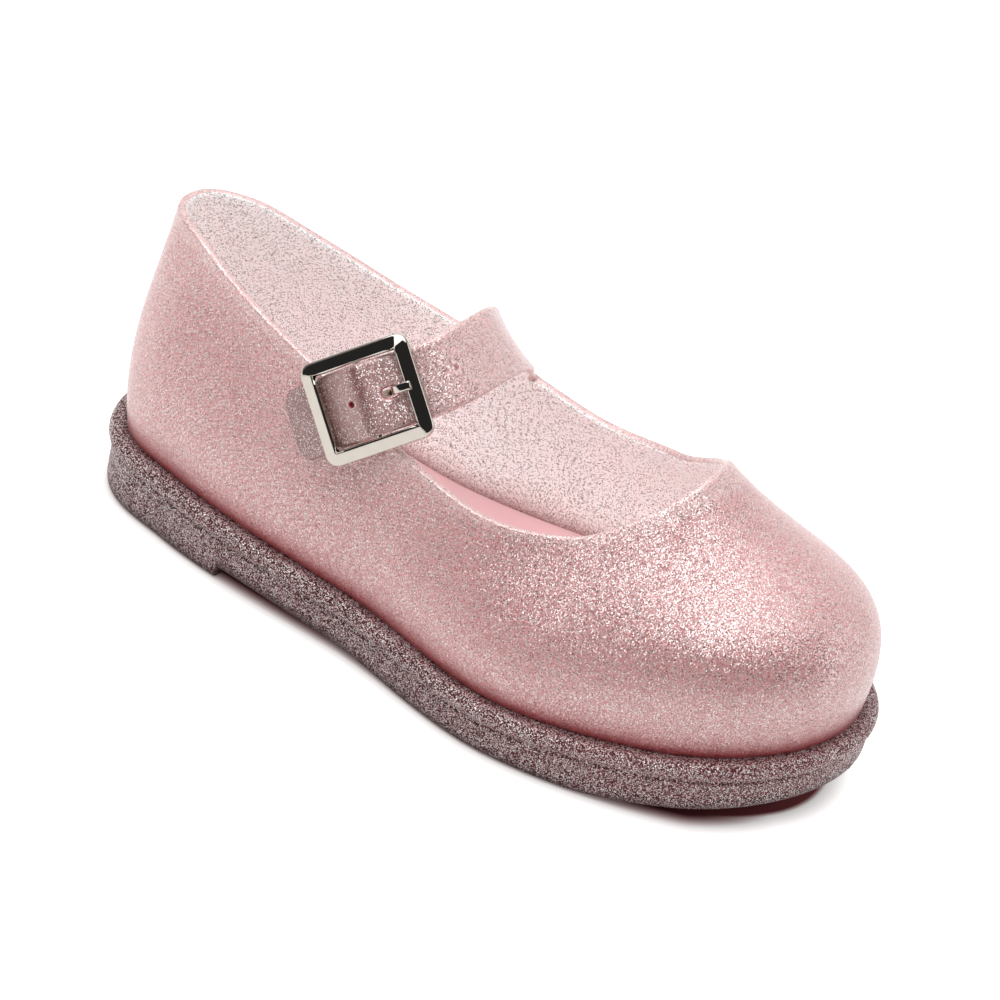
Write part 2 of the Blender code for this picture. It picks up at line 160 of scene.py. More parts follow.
# Buckle: axes along the strap towards the instep, along the centre bar, and out from the foot
BUCKLE_AT = np.array([66.0, -22.6, 53.2])
ALONG = np.array([0.7389, 0.3385, 0.5826])
ACROSS = np.array([0.6670, -0.2449, -0.7037])
OUT = np.array([0.0955, -0.9085, 0.4067])
FRAME_ALONG, FRAME_ACROSS, FRAME_CORNER = 11.7, 10.6, 2.6
FRAME_SECTION = (
    # inset from the outer edge, height: crest near the window, long slope falling to the outer edge
    (0.00, 0.45),
    (0.01, 0.90),
    (0.08, 1.22),
    (0.28, 1.44),
    (0.60, 1.56),
    (1.15, 1.72),
    (1.70, 1.88),
    (2.20, 2.02),
    (2.55, 2.08),
    (2.82, 1.97),
    (2.96, 1.66),
    (3.00, 1.15),
    (3.00, 0.55),
    (2.85, 0.22),
    (2.50, 0.10),
    (0.50, 0.10),
    (0.15, 0.20),
)
BAR_RADIUS = 0.75
EYE_RADIUS = 1.35
PRONG = (
    # along the strap, out from the foot, thickness
    (0.75, -1.12, 0.6),
    (2.3, -1.25, 0.75),
    (3.8, -1.1, 0.85),
    (4.9, -0.5, 0.9),
    (5.6, 0.6, 0.95),
    (6.1, 1.7, 0.95),
    (6.8, 2.6, 0.95),
    (7.8, 3.0, 0.95),
    (8.9, 3.05, 0.95),
    (10.3, 3.05, 0.85),
)
PRONG_HALF = 0.85
LUG_ROUND = 1.75
LUG_WEB = (
    # along the strap, out from the foot: from the roll round the bar down to the wall and back
    (-2.6, 0.1),
    (-4.2, -1.3),
    (-6.4, -2.3),
    (-8.0, -3.0),
    (-8.4, -4.2),
    (-7.2, -5.0),
    (-4.6, -4.3),
    (-2.2, -2.9),
)
PRONG_NOTCH, NOTCH_BACK = 1.6, -2.6  # half width and back of the notch that the lug leaves for the prong
LUG_ROWS = (
    # across from the lug's middle, size of the outline there: rounded at the notch and at the end
    (1.4, 1.0),
    (PRONG_NOTCH - 0.05, 1.0),
    (PRONG_NOTCH, 0.93),
    (1.7, 0.97),
    (1.9, 1.0),
    (2.6, 1.0),
    (5.2, 1.0),
    (5.8, 0.95),
    (6.1, 0.86),
    (6.2, 0.72),
)

# Strap
STRAP_HALF = 7.4
ROOT_TURN = (71.25, 84.375)  # degrees round the medial side
STRAP_ARCH = (
    # centre of the strap's outer face over the instep
    (74.3, 19.8, 52.4),
    (77.4, 12.6, 58.2),
    (80.2, 1.7, 63.5),
    (79.6, -9.5, 63.7),
)
STRAP_SAG = 0.8  # the strap's middle lies this much deeper than its edges where it leaves the medial side
STRAP_ARCH_RULING = (0.77, 0.0, -0.64)
STRAP_WAVE = (
    # along the strap from the centre bar, out from the foot: the outer face through the buckle
    (-19.5, -5.9),
    (-13.5, -2.3),
    (-9.8, -0.3),
    (-5.0, 1.9),
    (0.0, 3.8),
    (5.0, 1.9),
    (9.8, -0.3),
    (13.5, -0.8),
)
TAIL_CORNER = 4.0
SLOT_FROM, SLOT_TO, SLOT_HALF = 3.95, 6.9, 1.05
HOLE_AT, HOLE_RADIUS = -2.7, 0.6
NEXT_HOLE = 44.2  # run from the strap's root to the hole beside the buckle
OVER_INSTEP = 40.0  # stands for the place along the buckle on the rows that lie over the instep
STRAP_LINES = np.array([0.3, 0.6, 0.85, 1.05, 1.7, 2.7, 3.9, 5.1, 6.3, 7.4])  # columns out from the middle
HOLE_ROWS = np.array([-1.9, -1.4, -1.0, -0.6, -0.3, 0, 0.3, 0.6, 1.0, 1.4, 1.9])  # rows about a hole's middle

# Tone attribute of the glitter PVC: which of its four tones shows. Lapped is painted shade where the strap
# lies over the wall or the buckle, thin is painted light let through thin PVC, body is the PVC's own colour,
# deep is painted shade where the wall meets the sole, round openings and along the sole's lower edge
LAPPED_PAINTED_SHADE, THIN_PAINTED_LIGHT, BODY, DEEP_PAINTED_SHADE = 0.0, 0.35, 0.5, 1.0
STRAP_PAINTED_LIGHT_SHADE = (
    # along the strap from the centre bar towards the tail, painted light and shade
    (-OVER_INSTEP, THIN_PAINTED_LIGHT),
    (-12.5, THIN_PAINTED_LIGHT),
    (-9.0, 0.15),
    (0.0, 0.12),
    (4.0, 0.06),
    (12.0, LAPPED_PAINTED_SHADE),
    (20.0, 0.02),
)
BAR_PAINTED_SHADOW = 0.14  # painted shadow of the centre bar seen through the strap: what the tone value loses over the bar
FOOT_PAINTED_SHADE_FADE = 3.4  # millimetres over which the deep painted shade at the sole fades up the wall

# Studio: floor rings in millimetres out from the sole's outline, then circles in metres, and lamps
FLOOR_STEPS = np.array([-8.0, -6.0, -2.0, 0.0, 4.0, 10.0])
FLOOR_CIRCLES = np.array([0.3, 1.0, 4.0])
TOE_PAINTED_LIGHT = 5.0  # how much further in the painted glow reaches round the toe, so the painted shadow there is lighter
SOFTBOXES = (
    # name, azimuth, elevation, distance, size, power
    ("key_softbox", -50, 73, 0.9, 1.2, 9.0),
    ("left_softbox", -70, 20, 1.0, 0.7, 0.25),
    ("right_softbox", 115, 25, 1.0, 0.7, 2.2),
    ("back_softbox", 190, 40, 1.0, 0.8, 0.5),
)

# Camera, fitted to the photograph: angles in degrees, focal length and principal point in its pixels
CAMERA_AZIMUTH, CAMERA_ELEVATION, CAMERA_ROLL = 24.763, 33.413, 12.492
CAMERA_TARGET = (0.0005, 0.002568, 0.025)
CAMERA_DISTANCE = 0.9
IMAGE = 1000.0
FOCAL_PX = 4488.4
PRINCIPAL_PX = (496.92, 519.43)


def column(table, index):
    return np.array([row[index] for row in table], float)


def smooth(at, knots, values):
    """Monotone cubic through the knots, so that no bump appears between two rows of a table."""
    knots = np.asarray(knots, float)
    values = np.asarray(values, float)
    at = np.clip(np.asarray(at, float), knots[0], knots[-1])
    step = np.diff(knots)
    rise = np.diff(values) / step
    before, after = rise[:-1], rise[1:]
    same = before * after > 0
    mean = np.where(same, 2 * before * after / np.where(same, before + after, 1), 0)
    slope = np.concatenate([rise[:1], mean, rise[-1:]])
    i = np.clip(np.searchsorted(knots, at, side="right") - 1, 0, len(step) - 1)
    t = (at - knots[i]) / step[i]
    start = values[i] + t * t * (3 - 2 * t) * (values[i + 1] - values[i])
    return start + t * (1 - t) * step[i] * ((1 - t) * slope[i] - t * slope[i + 1])


def spline(at, knots, points):
    """Natural cubic curve through rows of numbers, one row for each knot."""
    step = np.diff(knots)[:, None]
    rise = np.diff(points, axis=0) / step
    gap = step[:, 0]
    system = np.diag(np.concatenate([[1], 2 * (gap[:-1] + gap[1:]), [1]]))
    system += np.diag(np.concatenate([gap[:-1], [0]]), -1) + np.diag(np.concatenate([[0], gap[1:]]), 1)
    pull = np.concatenate([0 * rise[:1], 6 * np.diff(rise, axis=0), 0 * rise[:1]])
    bend = np.linalg.solve(system, pull)
    i = np.clip(np.searchsorted(knots, at, side="right") - 1, 0, len(gap) - 1)
    b = ((at - knots[i]) / gap[i])[:, None]
    a = 1 - b
    bulge = ((a**3 - a) * bend[i] + (b**3 - b) * bend[i + 1]) * step[i] ** 2 / 6
    return a * points[i] + b * points[i + 1] + bulge


def unit(v):
    v = np.asarray(v, float)
    return v / np.linalg.norm(v, axis=-1, keepdims=True)


def run_of(points):
    """Length along a chain of points, from its first point."""
    return np.concatenate([[0], np.cumsum(np.linalg.norm(np.diff(points, axis=0), axis=1))])


def ring(angle, start, end, radii, table):
    """Closed plan outline: x runs as 1 - cos of the angle, y as its sine times a factor from the widths.

    Angles from 0 to pi go up the lateral side to the toe, from pi to 2 pi back along the medial side.
    """
    share = (1 - np.cos(angle)) / 2
    inner = np.array([row for row in table if row[1] > 0])
    round_off = 2 * np.sqrt(inner[:, 0] * (1 - inner[:, 0]))
    ends = np.sqrt(np.array(radii) * (end - start) / 2)
    knots = np.concatenate([[0], inner[:, 0], [1]])
    lateral = smooth(share, knots, np.concatenate([ends[:1], inner[:, 1] / round_off, ends[1:]]))
    medial = smooth(share, knots, np.concatenate([ends[:1], inner[:, 2] / round_off, ends[1:]]))
    factor = np.where(np.sin(angle) > 0, lateral, medial)
    return np.stack([start + share * (end - start), -factor * np.sin(angle)], axis=1)


def outward(plan):
    """Unit normals of a closed outline, pointing out of it."""
    along = np.roll(plan, -1, axis=0) - np.roll(plan, 1, axis=0)
    return unit(np.stack([along[:, 1], -along[:, 0]], axis=1))


def sole_top(x):
    return smooth(x / LENGTH, column(SOLE_TOP, 0), column(SOLE_TOP, 1))


def sole_bottom(x):
    return smooth(x / LENGTH, column(SOLE_BOTTOM, 0), column(SOLE_BOTTOM, 1))


def station(angle):
    """Place along the sole, which sets the heights of every row of its side."""
    return (1 - np.cos(angle)) / 2 * LENGTH


def sole_ring(angle, inset):
    plan = ring(angle, 0, LENGTH, (HEEL_RADIUS, TOE_RADIUS), SOLE_WIDTH)
    return plan - inset * outward(plan)


def round_trip(half):
    """Angles of the lateral side and then, mirrored, of the medial side, each end once."""
    return np.concatenate([half, 2 * math.pi - half[-2:0:-1]])


def lattice(rows, columns, closed):
    """Quads of a grid of points, row by row; closed joins the last column to the first."""
    last = columns if closed else columns - 1
    r, c = np.meshgrid(np.arange(rows - 1), np.arange(last), indexing="ij")
    a = r * columns + c
    b = r * columns + (c + 1) % columns
    return np.stack([a, b, b + columns, a + columns], axis=-1).reshape(-1, 4)


def joined(*grids):
    """Points and faces of several grids together; the first one is closed round, the others are open."""
    faces, first = [], 0
    for number, grid in enumerate(grids):
        faces.append(lattice(*grid.shape[:2], number == 0) + first)
        first += grid.size // 3
    return np.concatenate([grid.reshape(-1, 3) for grid in grids]), np.concatenate(faces)


def across_grid(edge, count):
    """Grid between the two sides of a closed outline: straight lines from lateral points to medial ones."""
    half = len(edge) // 2
    lateral = edge[: half + 1]
    medial = np.concatenate([edge[:1], edge[:half - 1:-1]])
    w = (1 - np.cos(np.linspace(0, math.pi, count + 1)))[None, :, None] / 2
    return lateral[:, None] * (1 - w) + medial[:, None] * w


def piece(name, points, faces, materials, attributes=None, weld=False):
    """Mesh object from millimetre points; weld merges the points that two grids share."""
    mesh = bpy.data.meshes.new(name)
    place = (np.asarray(points, float).reshape(-1, 3) - MIDDLE) * MM
    mesh.from_pydata(place, [], np.asarray(faces).tolist())
    for key, values in (attributes or {}).items():
        made = mesh.attributes.new(key, "FLOAT", "POINT")
        made.data.foreach_set("value", np.asarray(values, np.float32).ravel())
    if weld:
        work = bmesh.new()
        work.from_mesh(mesh)
        bmesh.ops.remove_doubles(work, verts=work.verts, dist=2e-6)
        bmesh.ops.dissolve_degenerate(work, edges=work.edges, dist=1e-7)
        bmesh.ops.recalc_face_normals(work, faces=work.faces)
        work.to_mesh(mesh)
        work.free()
    mesh.shade_smooth()
    for finish in materials:
        mesh.materials.append(finish)
    made = bpy.data.objects.new(name, mesh)
    bpy.context.scene.collection.objects.link(made)
    return made


def at_buckle(points):
    """From along, across and out of the buckle to millimetres of the shoe."""
    return np.asarray(points, float) @ np.array([ALONG, ACROSS, OUT]) + BUCKLE_AT


def outsole(finish):
    """Side profile splined through the table and carried round the outline.

    The mould's parting line is a narrow bell curve at toe and heel. Below, ribs wave as a cosine over the two
    treads. The tone is painted shade, darker on the rim's top step and towards the underside, and painted
    light, paler towards the toe, where light comes through.
    """
    near = math.acos(1 - 2 * BREAST) + np.linspace(-0.006, 0.03, 10)
    fine = np.array([0.004, 0.009, 0.015, 0.022])
    half = np.unique(np.concatenate([np.linspace(0, math.pi, 221), near, fine, math.pi - fine]))
    angle = round_trip(half)
    inset, from_top, height = (column(SOLE_SIDE, i)[:, None] for i in range(3))
    x = station(angle)
    plan = ring(angle, 0, LENGTH, (HEEL_RADIUS, TOE_RADIUS), SOLE_WIDTH)
    out = outward(plan)
    off_seam = np.minimum(np.abs(np.sin(angle / 2)), np.abs(np.cos(angle / 2))) * 2
    seam = SEAM * np.exp(-((off_seam / SEAM_HALF) ** 2))
    level = np.where(from_top > 0, sole_top(x), sole_bottom(x)) + height
    knots = np.concatenate([plan[None] - inset[:, :, None] * out[None], level[:, :, None]], axis=2)
    run = run_of(np.column_stack([inset, np.where(from_top > 0, EDGE_HEIGHT, 0) + height]))
    at = np.concatenate([np.linspace(a, b, 4)[:-1] for a, b in zip(run[:-1], run[1:])] + [run[-1:]])
    side = spline(at, run, knots.reshape(len(run), -1)).reshape(len(at), -1, 3)
    free = smooth(at, [0, 2.5, 12, 18, run[-1]], [0, 1, 1, 0, 0])
    side[:, :, :2] += free[:, None, None] * seam[None, :, None] * out[None]
    under = across_grid(side[0], 40)
    share = np.linspace(-1, 1, 41)
    place = under[:, :, 0]
    wave = 0.5 - 0.5 * np.cos(2 * math.pi * (place + RIB_BOW * share**2) / RIB_PITCH)
    inside = np.clip((0.86 - np.abs(share)) / 0.1, 0, 1)[None]
    ribbed = sum(
        np.clip((place - start) / fade, 0, 1) * np.clip((end - place) / fade, 0, 1)
        for start, end, fade in TREADS
    )
    under[:, :, 2] += RIB_DEPTH * wave * inside * ribbed
    top = across_grid(side[-1], 12)
    points, faces = joined(side, under, top)
    # painted shade on the rim's top step and in a dark strip along the lower edge, painted light paler
    # towards the toe; underside and top take the deep painted shade
    ledge_painted_shade = np.clip((at - run[-4]) / (run[-2] - run[-4]), 0, 1)
    tread_end = run[5] + 1.4
    tread_painted_shade = np.clip((tread_end - at) / (tread_end - run[3]), 0, 1)
    toe_painted_light = (BODY - THIN_PAINTED_LIGHT) * np.clip((x - 85) / 60, 0, 1)
    edge = BODY + np.maximum(0.2 * ledge_painted_shade, (DEEP_PAINTED_SHADE - BODY) * tread_painted_shade)[:, None] - toe_painted_light[None]
    painted_light_and_shade = np.concatenate([edge.ravel(), np.full((under.size + top.size) // 3, DEEP_PAINTED_SHADE)])
    return piece("outsole_moulding", points, faces, [finish], {"painted_light_and_shade": painted_light_and_shade}, weld=True)


def insole(finish):
    """Edge profile carried round the inner outline; the top dips as bell curves under heel and ball."""
    angle = round_trip(np.linspace(0, math.pi, 161))
    rows = []
    for inset, height in INSOLE_EDGE:
        plan = sole_ring(angle, INSOLE_INSET + inset)
        rows.append(np.column_stack([plan, sole_top(plan[:, 0]) + INSOLE_GAP + height]))
    side = np.stack(rows)
    top = across_grid(side[-1], 30)
    w = np.linspace(-1, 1, 31)[None]
    seat = sum(share * np.exp(-(((top[:, :, 0] - x) / reach) ** 2)) for x, reach, share in SEATS)
    top[:, :, 2] -= SEAT_DIP * seat * (1 - w**2) ** 2
    base = across_grid(side[0], 8)
    points, faces = joined(side, top, base)
    return piece("insole_sock", points, faces, [finish], weld=True)


def wall_grid(angle, t):
    """Outer face of the upper: a cubic curve rises from each point of the feather line to one on the topline.

    It leaves the sole upright, flared out by a few degrees, and meets the topline at the table's slope.
    """
    turn = np.degrees(np.where(angle > math.pi, 2 * math.pi - angle, angle))
    keys = column(MERIDIAN, 0)
    top_turn = np.radians(smooth(turn, keys, column(MERIDIAN, 1)))
    top_angle = np.where(angle > math.pi, 2 * math.pi - top_turn, top_turn)
    flare, low, slope, high = (smooth(turn, keys, column(MERIDIAN, i)) for i in (2, 3, 4, 5))
    flare, slope = np.radians(flare)[:, None], np.radians(slope)[:, None]
    plan = sole_ring(angle, FEATHER_INSET)
    foot = np.column_stack([plan, sole_top(plan[:, 0]) + FEATHER_GAP])
    radii = (TOPLINE_HEEL_RADIUS, TOPLINE_THROAT_RADIUS)
    collar = ring(top_angle, TOPLINE_START, TOPLINE_END, radii, TOPLINE)
    share = (1 - np.cos(top_angle)) / 2
    top = np.column_stack([collar, smooth(share, column(TOPLINE, 0), column(TOPLINE, 3))])
    up = np.array([0, 0, 1.0])
    out_low = np.column_stack([outward(plan), 0 * share])
    out_high = np.column_stack([outward(collar), 0 * share])
    reach = np.linalg.norm(top - foot, axis=1)[:, None]
    second = foot + low[:, None] * reach * (out_low * np.sin(flare) + up * np.cos(flare))
    third = top - high[:, None] * reach * (up * np.sin(slope) - out_high * np.cos(slope))
    t = t[:, None, None]
    return (1 - t) ** 3 * foot + 3 * t * (1 - t) ** 2 * second + 3 * t**2 * (1 - t) * third + t**3 * top


def strap_line(root):
    """Run, centre line and rulings of the strap: over the instep, then under, over and under the bars."""
    wave_at = np.array([13.5, 9.8, 7.4, 5.0, 2.5, 0.0, -2.5, -5.0, -7.4, -9.8, -13.5, -19.5])
    wave_out = smooth(wave_at, column(STRAP_WAVE, 0), column(STRAP_WAVE, 1))
    weave = at_buckle(np.column_stack([wave_at, 0 * wave_at, wave_out]))
    centre = np.concatenate([[root.mean(axis=0)], STRAP_ARCH, weave])
    arch = np.tile(unit(STRAP_ARCH_RULING), (len(STRAP_ARCH), 1))
    ruling = np.concatenate([[unit(root[-1] - root[0])], arch, np.tile(ACROSS, (len(weave), 1))])
    return run_of(centre), centre, ruling


def square_to_round(a, b, reach):
    """Shift that turns squares about the origin into circles of the same half width, fading past reach."""
    square = np.maximum(np.abs(a), np.abs(b))
    distance = np.hypot(a, b)
    fade = np.clip((reach * 2.2 - square) / (reach * 1.2), 0, 1)
    pull = (square / np.where(distance > 0, distance, 1) - 1) * fade
    return a * pull, b * pull


def strap_grid(root):
    """Outer face of the strap, row by row from its root on the topline to the tail past the buckle.

    A row is a ruling of the strap's width about the centre line, hollow by the sag where it leaves the medial
    side. Near the prong's slot and the spare holes the rows and columns bend into round outlines. Also
    returns each point's place along the buckle, and which points lie in an opening.
    """
    run, centre, ruling = strap_line(root)
    dense = np.linspace(0, run[-1], 4000)
    reach = (spline(dense, run, centre) - BUCKLE_AT) @ ALONG
    weaving = dense > run[4]
    slot_end = SLOT_FROM + SLOT_HALF - np.array([0, 0.3, 0.6, 0.85, 1.05, 1.7])
    hole = HOLE_AT + HOLE_ROWS
    slot_rest = SLOT_TO - SLOT_HALF + np.array([0, 0.3, 0.6, 0.85, 1.05])
    plain = np.concatenate([
        np.arange(12.6, 7.2, -0.75),
        [2.5, 1.7, 0.9, 0.2, -0.3],
        np.arange(-5.2, -15.5, -0.8),
    ])
    stops = np.sort(np.concatenate([slot_end, slot_rest, hole, plain]))[::-1]
    woven = np.interp(-stops, -reach[weaving], dense[weaving])
    over = np.arange(1.1, woven[0] - 0.7, 1.25)
    over = np.sort(np.concatenate([over[np.abs(over - NEXT_HOLE) > 2.4], NEXT_HOLE + HOLE_ROWS]))
    tail = run[-1] - TAIL_CORNER * np.array([0.85, 0.65, 0.45, 0.28, 0.14, 0.05, 0.0])
    at = np.concatenate([over, woven, tail])
    middle = spline(at, run, centre)
    lay = unit(np.stack([smooth(at, run, ruling[:, i]) for i in range(3)], axis=1))
    half = np.full(len(at), STRAP_HALF)
    from_end = np.clip(1 - (run[-1] - at) / TAIL_CORNER, 0, 1)
    half -= TAIL_CORNER * (1 - np.sqrt(1 - from_end**2 * 0.96))
    root_half = np.linalg.norm(root[-1] - root[0]) / 2
    fade = np.clip(1 - at / 9.0, 0, 1) ** 2
    half += (root_half - STRAP_HALF) * fade
    side = np.concatenate([-STRAP_LINES[::-1], [0], STRAP_LINES]) / STRAP_HALF
    width = half[:, None] * side
    grid = middle[:, None] + lay[:, None] * width[:, :, None]
    deeper = unit(np.cross(lay, np.gradient(middle, at, axis=0)))
    sag = STRAP_SAG * np.exp(-(((at - 13) / 8) ** 2))[:, None] * (1 - side**2)
    grid += deeper[:, None] * sag[:, :, None]
    bend = root - (root.mean(axis=0) + unit(root[-1] - root[0]) * root_half * side[:, None])
    grid += fade[:, None, None] * bend
    a = np.where(at > woven[0] - 0.5, (middle - BUCKLE_AT) @ ALONG, OVER_INSTEP)[:, None] + 0 * width
    slot_a = a - np.clip(a, SLOT_FROM + SLOT_HALF, SLOT_TO - SLOT_HALF)
    next_a = (NEXT_HOLE - at)[:, None] + 0 * width
    tangent = unit(np.gradient(middle, axis=0))
    shift = np.zeros_like(grid)
    opened = np.zeros(width.shape, bool)
    for off, half_open in ((slot_a, SLOT_HALF), (a - HOLE_AT, HOLE_RADIUS), (next_a, HOLE_RADIUS)):
        along, sideways = square_to_round(off, width, half_open)
        shift += -tangent[:, None] * along[:, :, None] + lay[:, None] * sideways[:, :, None]
        opened |= np.maximum(np.abs(off), np.abs(width)) < half_open + 0.05
    return grid + shift, a, opened


def upper(outer, inner):
    """Wall and strap as one sheet with shared root points, thickened inwards and rounded at its cut edges.

    A painted shade at the sole falls off exponentially up the wall, and a painted light runs along the
    topline.
    On the strap the painted light and shade follow its table, less a bell curve that paints the centre bar's
    shadow; the points round the openings take the deep painted shade.
    """
    low, high = np.radians(360 - np.array(ROOT_TURN))
    side = np.concatenate([-STRAP_LINES[::-1], [0], STRAP_LINES]) / STRAP_HALF
    roots = (low + high) / 2 + side * (high - low) / 2  # from the heel towards the toe
    even = np.linspace(0, 2 * math.pi, 208, endpoint=False)
    clear = (even < roots.min() - 0.012) | (even > roots.max() + 0.012)
    angle = np.sort(np.concatenate([even[clear], roots]))
    t = np.concatenate([np.linspace(0, 0.9, 25), [0.93, 0.96, 0.983, 1.0]])
    wall = wall_grid(angle, t)
    foot = wall[:1].copy()
    foot[:, :, 2] -= FOOT_DROP
    wall = np.concatenate([foot, wall])
    rows, columns = wall.shape[:2]
    picks = np.searchsorted(angle, roots)
    strap, a, opened = strap_grid(wall[-1, picks])
    count = len(side)
    numbers = np.arange(rows * columns, rows * columns + len(strap) * count).reshape(len(strap), count)
    numbers = np.concatenate([[(rows - 1) * columns + picks], numbers])
    solid = np.concatenate([[np.zeros(count, bool)], opened])
    hole = solid[:-1, :-1] & solid[1:, :-1] & solid[:-1, 1:] & solid[1:, 1:]
    quads = np.stack([numbers[:-1, 1:], numbers[:-1, :-1], numbers[1:, :-1], numbers[1:, 1:]], axis=-1)
    faces = np.concatenate([lattice(rows, columns, True), quads[~hole]])
    points = np.concatenate([wall.reshape(-1, 3), strap.reshape(-1, 3)])
    used = np.zeros(len(points), bool)
    used[faces] = True
    renumber = np.cumsum(used) - 1
    rise = wall[:, :, 2] - wall[1:2, :, 2]
    # strap: painted light and shade from the table, the centre bar's painted shadow, painted shade round
    # openings
    laid = smooth(-a, column(STRAP_PAINTED_LIGHT_SHADE, 0), column(STRAP_PAINTED_LIGHT_SHADE, 1)) - BAR_PAINTED_SHADOW * np.exp(-((a / 1.3) ** 2))
    laid = np.where(opened & (a < OVER_INSTEP), DEEP_PAINTED_SHADE, np.clip(laid, 0, 1))
    # wall: painted shade at the foot fading upwards, painted light along the topline rim
    wall_painted_light_shade = BODY + (DEEP_PAINTED_SHADE - BODY) * np.exp(-np.clip(rise, 0, 99) / FOOT_PAINTED_SHADE_FADE)
    wall_painted_light_shade[-3:] = THIN_PAINTED_LIGHT
    painted_light_and_shade = np.concatenate([wall_painted_light_shade.ravel(), laid.ravel()])
    made = piece("upper_moulding", points[used], renumber[faces], [outer, inner], {"painted_light_and_shade": painted_light_and_shade[used]})
    thick = made.modifiers.new("wall", "SOLIDIFY")
    thick.thickness = WALL * MM
    thick.offset = -1
    thick.use_even_offset = True
    thick.material_offset = 1
    fine = made.modifiers.new("rounded edges", "SUBSURF")
    fine.levels = fine.render_levels = 1
    return made


def lug(finish):
    """Tab that rises from the wall and folds round the centre bar: one outline carried along the bar.

    In the prong's notch the outline is cut off behind the prong's eye.
    """
    roll = np.linspace(math.radians(-100), math.radians(150), 25)
    outline = np.concatenate([np.column_stack([LUG_ROUND * np.cos(roll), LUG_ROUND * np.sin(roll)]), LUG_WEB])
    loop = np.concatenate([outline, outline[:1]])
    outline = spline(np.linspace(0, run_of(loop)[-1], 73)[:-1], run_of(loop), loop)
    across, shrink = np.array(LUG_ROWS).T
    across = np.concatenate([-across[::-1], across])
    shrink = np.concatenate([shrink[::-1], shrink])
    middle = outline.mean(axis=0)
    flat = middle + (outline - middle)[None] * shrink[:, None, None]
    cut = (flat[:, :, 0] > NOTCH_BACK) & (np.abs(across) < PRONG_NOTCH)[:, None]
    flat[:, :, 1] = np.where(cut, np.minimum(flat[:, :, 1], 0), flat[:, :, 1])
    flat[:, :, 0] = np.where(cut, NOTCH_BACK, flat[:, :, 0])
    lies = np.broadcast_to(across[:, None, None], flat[:, :, :1].shape)
    grid = np.concatenate([flat[:, :, :1], lies, flat[:, :, 1:]], axis=2)
    start = np.broadcast_to(grid[:1].mean(axis=1), grid[0].shape)[None]
    end = np.broadcast_to(grid[-1:].mean(axis=1), grid[0].shape)[None]
    sheets = np.concatenate([start, grid, end])
    faces = lattice(*sheets.shape[:2], True)
    return piece("buckle_lug", at_buckle(sheets.reshape(-1, 3)), faces, [finish], weld=True)


def rounded_square(corner_steps, side_steps):
    """Centres of curvature and directions round a rounded square, for an outline that can be inset."""
    turn = np.linspace(0, math.pi / 2, corner_steps)
    path = []
    for i, (sx, sy) in enumerate(((1, 1), (-1, 1), (-1, -1), (1, -1))):
        centre = np.array([sx * (FRAME_ALONG - FRAME_CORNER), sy * (FRAME_ACROSS - FRAME_CORNER)])
        way = np.column_stack([np.cos(turn + i * math.pi / 2), np.sin(turn + i * math.pi / 2)])
        path.append(np.column_stack([np.tile(centre, (corner_steps, 1)), way]))
    path = np.concatenate(path)
    far = np.roll(path, -1, axis=0)
    share = np.linspace(0, 1, side_steps + 1)[:-1]
    straight = np.all(np.abs(path[:, 2:] - far[:, 2:]) < 1e-6, axis=1)
    runs = []
    for here, there, even in zip(path, far, straight):
        runs.append(here + (there - here) * (share if even else share[:1])[:, None])
    return np.concatenate(runs)


def rod(centre, radius, low, high, sides=32):
    """Bar along the across axis with rounded ends: circles whose radius grows as a quarter ellipse."""
    share = np.array([0, 0.3, 0.6, 0.85, 1.0])
    across = np.concatenate([low + share * 0.4, high - share[::-1] * 0.4])
    size = radius * np.sqrt(1 - (1 - np.concatenate([share, share[::-1]])) ** 2)
    turn = np.arange(sides) * 2 * math.pi / sides
    return np.stack([
        centre[0] + size[:, None] * np.cos(turn),
        across[:, None] + 0 * turn,
        centre[1] + size[:, None] * np.sin(turn),
    ], axis=-1)


def buckle_frame(finish):
    """Crowned section carried round a rounded square, and the round centre bar let into its two sides."""
    path = rounded_square(9, 8)
    section = np.array(FRAME_SECTION)
    loop = np.concatenate([section, section[:1]])
    section = spline(np.linspace(0, run_of(loop)[-1], 41)[:-1], run_of(loop), loop)
    reach = FRAME_CORNER - section[:, :1, None]
    flat = path[None, :, :2] + reach * path[None, :, 2:]
    grid = np.concatenate([flat, np.broadcast_to(section[:, 1:, None], flat[:, :, :1].shape)], axis=2)
    count = grid.shape[1]
    faces = lattice(len(section) + 1, count, True) % (len(section) * count)
    bar = rod((0, 0), BAR_RADIUS, -FRAME_ACROSS + 1.0, FRAME_ACROSS - 1.0)
    first = grid.size // 3
    points = np.concatenate([grid.reshape(-1, 3), bar.reshape(-1, 3)])
    faces = np.concatenate([faces, lattice(*bar.shape[:2], True) + first])
    return piece("buckle_frame_plated", at_buckle(points), faces, [finish], weld=True)


